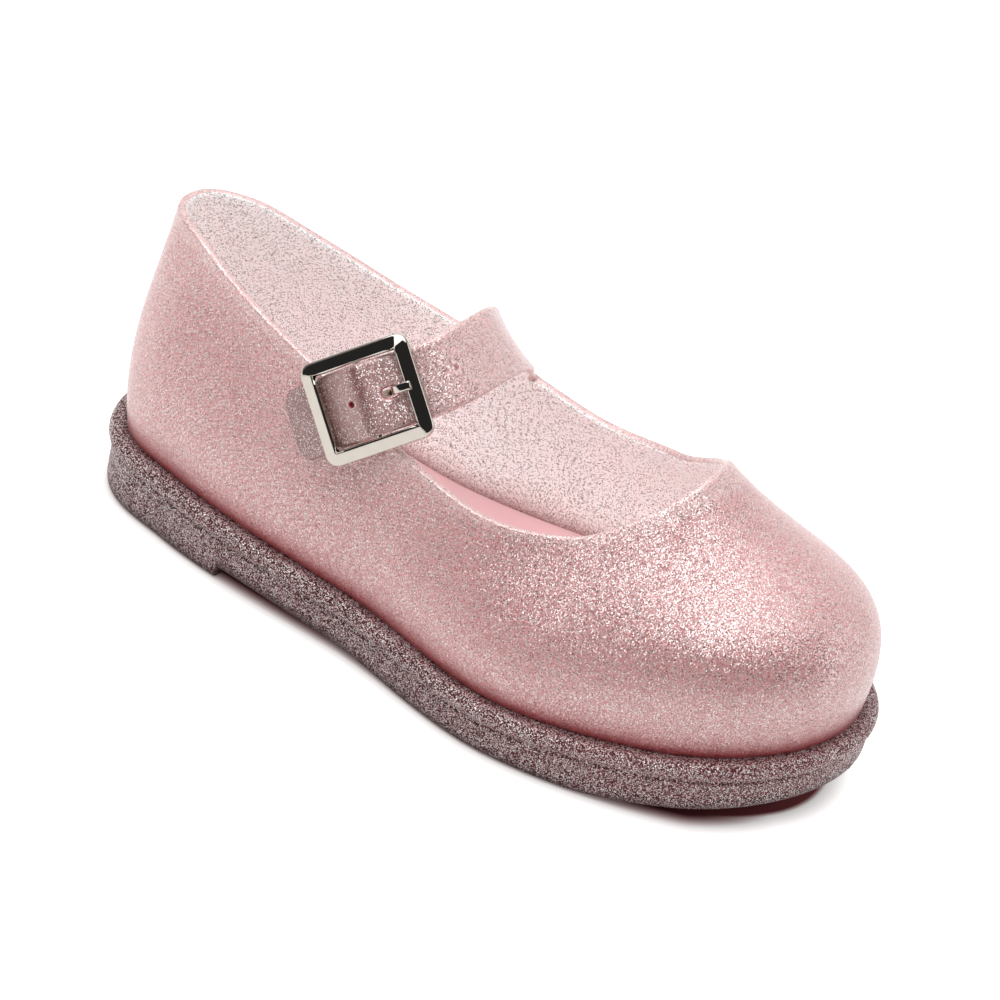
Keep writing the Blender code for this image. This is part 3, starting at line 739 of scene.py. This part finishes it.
def buckle_prong(finish):
    """Flat pin, its section a superellipse: curled round the bar, led up the slot and laid on the frame."""
    curl = np.radians(np.linspace(100, 290, 24))
    eye = np.column_stack([EYE_RADIUS * np.cos(curl), EYE_RADIUS * np.sin(curl), 0.55 + 0 * curl])
    line = np.concatenate([eye, PRONG])
    run = run_of(line[:, :2])
    at = np.linspace(0, run[-1], 90)
    line = spline(at, run, line)
    way = unit(np.gradient(line[:, :2], axis=0))
    side = np.stack([-way[:, 1], way[:, 0]], axis=1)
    turn = np.linspace(0, 2 * math.pi, 24, endpoint=False)
    bulge = np.column_stack([np.sign(f(turn)) * np.abs(f(turn)) ** 0.45 for f in (np.cos, np.sin)])
    ends = np.minimum(np.minimum(at, run[-1] - at) / 0.35, 1)
    ends = np.sqrt(1 - (1 - ends) ** 2)
    flat = line[:, None, :2] + side[:, None] * (line[:, 2:3] / 2 * ends[:, None] * bulge[:, 1])[:, :, None]
    width = PRONG_HALF * (0.85 + 0.15 * ends[:, None]) * bulge[:, 0] * np.where(ends[:, None] > 0, 1, 0)
    grid = np.stack([flat[:, :, 0], width, flat[:, :, 1]], axis=-1)
    faces = lattice(*grid.shape[:2], True)
    return piece("buckle_prong_plated", at_buckle(grid.reshape(-1, 3)), faces, [finish], weld=True)


def linear(hexcode):
    """sRGB hex colour as linear RGBA."""
    value = np.array([int(hexcode[i:i + 2], 16) for i in (1, 3, 5)]) / 255
    value = np.where(value <= 0.04045, value / 12.92, ((value + 0.055) / 1.055) ** 2.4)
    return (*value.tolist(), 1.0)


def add(tree, kind, inputs=None, **settings):
    """One node with its settings; an input is a value or the socket that feeds it."""
    made = tree.nodes.new(kind)
    for key, value in settings.items():
        setattr(made, key, value)
    for key, value in (inputs or {}).items():
        if isinstance(value, bpy.types.NodeSocket):
            tree.links.new(value, made.inputs[key])
        else:
            made.inputs[key].default_value = value
    return made


def new_material(name):
    made = bpy.data.materials.new(name)
    made.use_nodes = True
    made.node_tree.nodes.clear()
    return made, made.node_tree


def glitter_pvc(
    name, tones_painted_light_shade, flake, tinted, share, flake_mm, tilt, foil_shine, skin_gloss, glow, glow_mm, through=0.0
):
    """Moulded translucent PVC full of fine foil flakes that lie nearly flat below a glossy skin.

    The eye sees a soft coloured body, and in it grains that flash white or go dark as each one mirrors
    another part of the room. Each Voronoi cell holds one flake, a disc about the cell's point: the cell's
    random colour says whether it is foil, what tint it has and how far it leans. Seen flat across the skin
    the flakes hide below it, so their mirror fades there and the edges stay soft. A mesh attribute picks the
    tone: lapped, a painted shade; thin, a painted light; body, the PVC's own colour; deep, a painted shade
    that the flakes take on as well. Through is a painted glow, emission that stands for the light a thin wall
    lets in from outside. Flakes are drawn at about twice their real 0.1 mm, so they show.
    """
    made, tree = new_material(name)
    place = add(tree, "ShaderNodeTexCoord").outputs["Object"]
    cells = add(tree, "ShaderNodeTexVoronoi", {"Vector": place, "Scale": 1000 / flake_mm})
    chance = add(tree, "ShaderNodeSeparateColor", {"Color": cells.outputs["Color"]})
    # tone attribute carrying painted light and shade
    thick = add(tree, "ShaderNodeAttribute", attribute_name="painted_light_and_shade").outputs["Fac"]
    sparse = add(tree, "ShaderNodeMapRange", {
        "Value": thick,
        "From Min": 0.1,
        "From Max": 0.32,
        "To Min": 0.5 * share,
        "To Max": share,
    })
    disc = add(tree, "ShaderNodeMath", {0: cells.outputs["Distance"], 1: 0.55}, operation="LESS_THAN")
    picked = add(tree, "ShaderNodeMath", {
        0: chance.outputs["Red"],
        1: sparse.outputs[0],
    }, operation="LESS_THAN")
    foil = add(tree, "ShaderNodeMath", {0: disc.outputs[0], 1: picked.outputs[0]}, operation="MULTIPLY")
    lean = add(tree, "ShaderNodeVectorMath", {
        0: cells.outputs["Color"],
        1: (0.5, 0.5, 0.5),
    }, operation="SUBTRACT")
    scaled = add(tree, "ShaderNodeVectorMath", {0: lean.outputs[0], "Scale": tilt}, operation="SCALE")
    facing = add(tree, "ShaderNodeNewGeometry").outputs["Normal"]
    leaning = add(tree, "ShaderNodeVectorMath", {0: facing, 1: scaled.outputs[0]}, operation="ADD")
    normal = add(tree, "ShaderNodeVectorMath", {0: leaning.outputs[0]}, operation="NORMALIZE")
    cloud = add(tree, "ShaderNodeTexNoise", {"Vector": place, "Scale": 1000 / 14.0, "Detail": 2.0})
    murk = add(tree, "ShaderNodeMath", {0: cloud.outputs["Fac"], 1: 0.12, 2: -0.06}, operation="MULTIPLY_ADD")
    shade = add(tree, "ShaderNodeMath", {0: thick, 1: murk.outputs[0]}, operation="ADD", use_clamp=True)
    resin_with_painted_tones = add(tree, "ShaderNodeValToRGB", {"Fac": shade.outputs[0]})
    stops = resin_with_painted_tones.color_ramp.elements
    stops.new(THIN_PAINTED_LIGHT)
    stops.new(BODY)
    for stop, tone in zip(stops, tones_painted_light_shade):
        stop.color = linear(tone)
    metal = add(tree, "ShaderNodeMix", {
        "Factor": chance.outputs["Green"],
        6: linear(tinted),
        7: linear(flake),
    }, data_type="RGBA")
    # in the deep painted shade the flakes take the deep tone too
    flakes_in_painted_shade = add(tree, "ShaderNodeMapRange", {
        "Value": thick,
        "From Min": 0.55,
        "From Max": 0.95,
        "To Min": 0.0,
        "To Max": 0.85,
    })
    grain = add(tree, "ShaderNodeMix", {
        "Factor": flakes_in_painted_shade.outputs[0],
        6: metal.outputs[2],
        7: linear(tones_painted_light_shade[3]),
    }, data_type="RGBA")
    colour = add(tree, "ShaderNodeMix", {
        "Factor": foil.outputs[0],
        6: resin_with_painted_tones.outputs[0],
        7: grain.outputs[2],
    }, data_type="RGBA")
    skin = add(tree, "ShaderNodeLayerWeight", {"Blend": 0.5}).outputs["Facing"]
    sunk = add(tree, "ShaderNodeMapRange", {
        "Value": skin,
        "From Min": 0.35,
        "From Max": 0.9,
        "To Min": foil_shine,
        "To Max": 0.0,
    })
    veiled = add(tree, "ShaderNodeMapRange", {
        "Value": thick,
        "From Min": 0.1,
        "From Max": 0.32,
        "To Min": 0.8,
        "To Max": 1.0,
    })
    mirror = add(tree, "ShaderNodeMath", {0: foil.outputs[0], 1: sunk.outputs[0]}, operation="MULTIPLY")
    shine = add(tree, "ShaderNodeMath", {0: mirror.outputs[0], 1: veiled.outputs[0]}, operation="MULTIPLY")
    gloss = add(tree, "ShaderNodeMapRange", {"Value": foil.outputs[0], "To Min": 0.42, "To Max": 0.3})
    shader = add(tree, "ShaderNodeBsdfPrincipled", {
        "Base Color": colour.outputs[2],
        "Metallic": shine.outputs[0],
        "Roughness": gloss.outputs[0],
        "Normal": normal.outputs[0],
        "IOR": 1.53,
        "Specular IOR Level": 0.8 * skin_gloss,
        "Coat Weight": skin_gloss,
        "Coat Roughness": 0.36,
        "Subsurface Weight": glow,
        "Subsurface Radius": (1.0, 0.7, 0.66),
        "Subsurface Scale": glow_mm * MM,
        "Emission Strength": through,
    })
    # painted glow: the face emits its own colour, standing for light let through the thin wall
    if through > 0:
        tree.links.new(colour.outputs[2], shader.inputs["Emission Color"])
    add(tree, "ShaderNodeOutputMaterial", {"Surface": shader.outputs[0]})
    return made


def sock_pvc():
    """Smooth opaque pink PVC sock, satin from a fine-grained mould: even colour, soft broad sheen."""
    made, tree = new_material("moulded_satin_pvc")
    place = add(tree, "ShaderNodeTexCoord").outputs["Object"]
    cloud = add(tree, "ShaderNodeTexNoise", {"Vector": place, "Scale": 1000 / 22.0, "Detail": 3.0})
    colour = add(tree, "ShaderNodeMix", {
        "Factor": cloud.outputs["Fac"],
        6: linear("#F8C9CC"),
        7: linear("#F2BFC3"),
    }, data_type="RGBA")
    grain = add(tree, "ShaderNodeTexNoise", {"Vector": place, "Scale": 1000 / 0.5, "Detail": 2.0})
    bump = add(tree, "ShaderNodeBump", {"Height": grain.outputs["Fac"], "Strength": 0.12, "Distance": 0.0001})
    shader = add(tree, "ShaderNodeBsdfPrincipled", {
        "Base Color": colour.outputs[2],
        "Roughness": 0.5,
        "Normal": bump.outputs[0],
        "IOR": 1.5,
        "Subsurface Weight": 0.25,
        "Subsurface Radius": (1.0, 0.5, 0.45),
        "Subsurface Scale": 0.002,
    })
    add(tree, "ShaderNodeOutputMaterial", {"Surface": shader.outputs[0]})
    return made


def plated_nickel():
    """Nickel plate on die-cast zinc, polished: a warm mirror with faint ripples from the casting below."""
    made, tree = new_material("nickel_plated_zinc")
    place = add(tree, "ShaderNodeTexCoord").outputs["Object"]
    ripple = add(tree, "ShaderNodeTexNoise", {"Vector": place, "Scale": 1000 / 2.5, "Detail": 2.0})
    bump = add(tree, "ShaderNodeBump", {
        "Height": ripple.outputs["Fac"],
        "Strength": 0.05,
        "Distance": 0.0002,
    })
    wear = add(tree, "ShaderNodeTexNoise", {"Vector": place, "Scale": 1000 / 0.6, "Detail": 3.0})
    gloss = add(tree, "ShaderNodeMapRange", {"Value": wear.outputs["Fac"], "To Min": 0.02, "To Max": 0.07})
    tone = add(tree, "ShaderNodeMix", {
        "Factor": ripple.outputs["Fac"],
        6: linear("#CFC9C0"),
        7: linear("#C4BEB5"),
    }, data_type="RGBA")
    shader = add(tree, "ShaderNodeBsdfPrincipled", {
        "Base Color": tone.outputs[2],
        "Metallic": 1.0,
        "Roughness": gloss.outputs[0],
        "Normal": bump.outputs[0],
    })
    add(tree, "ShaderNodeOutputMaterial", {"Surface": shader.outputs[0]})
    return made


def studio_floor():
    """White shooting table that shows plain white by a painted glow; a painted dark red shadow stays under
    the sole.

    Rings follow the sole's outline at growing distances. The clear attribute is that distance in centimetres:
    from -0.5 to 0.3 the table's painted glow grows, which leaves a painted shadow under the sole, and below
    -0.08 its white takes a painted red shadow, for light through the red sole. Round the toe, which stands
    off the table, the painted glow reaches a little further in.
    """
    angle = round_trip(np.linspace(0, math.pi, 121))
    plan = ring(angle, 0, LENGTH, (HEEL_RADIUS, TOE_RADIUS), SOLE_WIDTH)
    near = plan[None] + FLOOR_STEPS[:, None, None] * outward(plan)[None]
    radius = FLOOR_CIRCLES[:, None, None] / MM
    far = MIDDLE[:2] - radius * np.stack([np.cos(angle), np.sin(angle)], axis=1)[None]
    rings = np.concatenate([near, far])
    core = across_grid(rings[0], 6)
    flat = np.concatenate([rings.reshape(-1, 2), core.reshape(-1, 2)])
    faces = [lattice(*rings.shape[:2], True), lattice(*core.shape[:2], False) + rings.size // 2]
    toe = TOE_PAINTED_LIGHT * np.clip((np.minimum(angle, 2 * math.pi - angle) - 2.45) / 0.35, 0, 1)
    clear = np.append(FLOOR_STEPS, np.full(len(FLOOR_CIRCLES), FLOOR_STEPS[-1]))[:, None]
    clear = clear + toe * (np.arange(len(rings)) > 0)[:, None]
    clear = np.concatenate([clear.ravel(), np.full(core.size // 2, FLOOR_STEPS[0])]) / 10
    made, tree = new_material("white_table_painted_glow_and_shadow")
    away = add(tree, "ShaderNodeAttribute", attribute_name="clear").outputs["Fac"]
    seen = add(tree, "ShaderNodeLightPath").outputs["Is Camera Ray"]
    # painted shadow: no glow under the sole, growing outwards; painted red shadow tint close under it
    glow_past_painted_shadow = add(tree, "ShaderNodeMapRange", {"Value": away, "From Min": -0.5, "From Max": 0.3, "To Max": 1.0})
    share = add(tree, "ShaderNodeMapRange", {"Value": seen, "To Min": 0.42, "To Max": 1.0})
    glow = add(tree, "ShaderNodeMath", {0: glow_past_painted_shadow.outputs[0], 1: share.outputs[0]}, operation="MULTIPLY")
    painted_red_shadow = add(tree, "ShaderNodeMapRange", {"Value": away, "From Min": -0.5, "From Max": -0.08})
    colour = add(tree, "ShaderNodeMix", {
        "Factor": painted_red_shadow.outputs[0],
        6: linear("#98484C"),
        7: linear("#E2E0DF"),
    }, data_type="RGBA")
    shader = add(tree, "ShaderNodeBsdfPrincipled", {
        "Base Color": colour.outputs[2],
        "Roughness": 0.9,
        "Emission Color": colour.outputs[2],
        "Emission Strength": glow.outputs[0],
    })
    add(tree, "ShaderNodeOutputMaterial", {"Surface": shader.outputs[0]})
    points = np.column_stack([flat, 0 * flat[:, 0]])
    piece("floor", points, np.concatenate(faces), [made], {"clear": clear}, weld=True)


def softbox(name, azimuth, elevation, distance, size, power):
    """Square area light aimed at the shoe; azimuth and elevation as for the camera."""
    a, e = math.radians(azimuth), math.radians(elevation)
    back = Vector((math.sin(a) * math.cos(e), -math.cos(a) * math.cos(e), math.sin(e)))
    data = bpy.data.lights.new(name, "AREA")
    data.energy = power
    data.size = size
    made = bpy.data.objects.new(name, data)
    made.location = back * distance
    made.rotation_mode = "QUATERNION"
    made.rotation_quaternion = back.to_track_quat("Z", "Y")
    made.visible_camera = False
    bpy.context.scene.collection.objects.link(made)


def studio_room():
    """Pale room behind and above the shoe, dark on the camera's side between floor and ceiling."""
    world = bpy.data.worlds.new("studio")
    bpy.context.scene.world = world
    world.use_nodes = True
    tree = world.node_tree
    tree.nodes.clear()
    way = add(tree, "ShaderNodeTexCoord").outputs["Generated"]
    behind = add(tree, "ShaderNodeVectorMath", {0: way, 1: (-0.42, 0.907, 0.0)}, operation="DOT_PRODUCT")
    above = add(tree, "ShaderNodeVectorMath", {0: way, 1: (0.0, 0.0, 1.0)}, operation="DOT_PRODUCT")
    back = add(tree, "ShaderNodeMapRange", {
        "Value": behind.outputs["Value"],
        "From Min": 0.05,
        "From Max": 0.6,
    }, interpolation_type="SMOOTHSTEP")
    roof = add(tree, "ShaderNodeMapRange", {
        "Value": above.outputs["Value"],
        "From Min": 0.78,
        "From Max": 0.92,
    }, interpolation_type="SMOOTHSTEP")
    wash = add(tree, "ShaderNodeMath", {0: back.outputs[0], 1: 0.65}, operation="MULTIPLY")
    dome = add(tree, "ShaderNodeMath", {0: roof.outputs[0], 1: 0.9}, operation="MULTIPLY")
    most = add(tree, "ShaderNodeMath", {0: wash.outputs[0], 1: dome.outputs[0]}, operation="MAXIMUM")
    level = add(tree, "ShaderNodeMath", {0: most.outputs[0], 1: 0.03}, operation="ADD")
    seen = add(tree, "ShaderNodeLightPath").outputs["Is Camera Ray"]
    strength = add(tree, "ShaderNodeMix", {"Factor": seen, 2: level.outputs[0], 3: 1.0}, data_type="FLOAT")
    light = add(tree, "ShaderNodeBackground", {"Color": (1, 1, 1, 1), "Strength": strength.outputs[0]})
    add(tree, "ShaderNodeOutputWorld", {"Surface": light.outputs[0]})


def camera():
    """Camera at the photograph's angle, rolled as it is; the shift sets the photograph's principal point."""
    a, e, roll = (math.radians(x) for x in (CAMERA_AZIMUTH, CAMERA_ELEVATION, CAMERA_ROLL))
    back = Vector((math.sin(a) * math.cos(e), -math.cos(a) * math.cos(e), math.sin(e)))
    right = Vector((math.cos(a), math.sin(a), 0))
    up = back.cross(right)
    turned = right * math.cos(roll) + up * math.sin(roll)
    risen = up * math.cos(roll) - right * math.sin(roll)
    data = bpy.data.cameras.new("photo_view")
    data.sensor_width = 36.0
    data.lens = FOCAL_PX / IMAGE * 36.0
    data.shift_x = (IMAGE / 2 - PRINCIPAL_PX[0]) / IMAGE
    data.shift_y = (PRINCIPAL_PX[1] - IMAGE / 2) / IMAGE
    data.clip_start, data.clip_end = 0.01, 50.0
    made = bpy.data.objects.new("photo_view", data)
    axes = Matrix((turned, risen, back)).transposed().to_4x4()
    made.matrix_world = Matrix.Translation(Vector(CAMERA_TARGET) + back * CAMERA_DISTANCE) @ axes
    bpy.context.scene.collection.objects.link(made)
    bpy.context.scene.camera = made


# tones: lapped painted shade, thin painted light, body colour, deep painted shade
upper_pvc = glitter_pvc(
    "moulded_glitter_pvc", ("#84544E", "#EABFBD", "#DC9D9C", "#B0343C"), "#FFFAF9", "#864444",
    share=0.82, flake_mm=0.22, tilt=0.5, foil_shine=0.64, skin_gloss=0.9, glow=0.5, glow_mm=2.0,
)
# inside face: a paler, whiter copy of the glitter PVC with a painted glow, painted light for what comes
# through the thin wall; on the lug, which has no tone attribute, the lapped tone is painted shade
inner_pvc_painted_light = glitter_pvc(
    "moulded_glitter_pvc_inside_painted_light", ("#DCD0CE", "#F5F2F0", "#F5F2F0", "#8E5052"), "#FFFFFF", "#3E2E2C",
    share=0.9, flake_mm=0.23, tilt=0.6, foil_shine=0.5, skin_gloss=0.6, glow=1.0, glow_mm=7.0, through=0.27,
)
# tones: lapped painted shade, thin painted light towards the toe, body colour, deep painted shade
sole_pvc = glitter_pvc(
    "moulded_glitter_pvc_thick", ("#521820", "#642A30", "#4A141A", "#36080C"), "#FFFCFA", "#A06466",
    share=0.7, flake_mm=0.24, tilt=1.1, foil_shine=0.4, skin_gloss=0.25, glow=0.2, glow_mm=1.5,
)
sock = sock_pvc()
nickel = plated_nickel()

for made, node, slot in (
    (outsole(sole_pvc), "outsole", "sole_glitter_pvc"),
    (insole(sock), "insole", "insole_pvc"),
    (upper(upper_pvc, inner_pvc_painted_light), "upper", "upper_glitter_pvc"),
    (lug(inner_pvc_painted_light), "upper", "upper_glitter_pvc"),
    (buckle_frame(nickel), "buckle_frame", "polished_nickel"),
    (buckle_prong(nickel), "buckle_prong", "polished_nickel"),
):
    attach(made, "root")
    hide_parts(node)

studio_floor()
studio_room()
for lamp in SOFTBOXES:
    softbox(*lamp)
camera()
bpy.context.scene.view_settings.view_transform = "Standard"
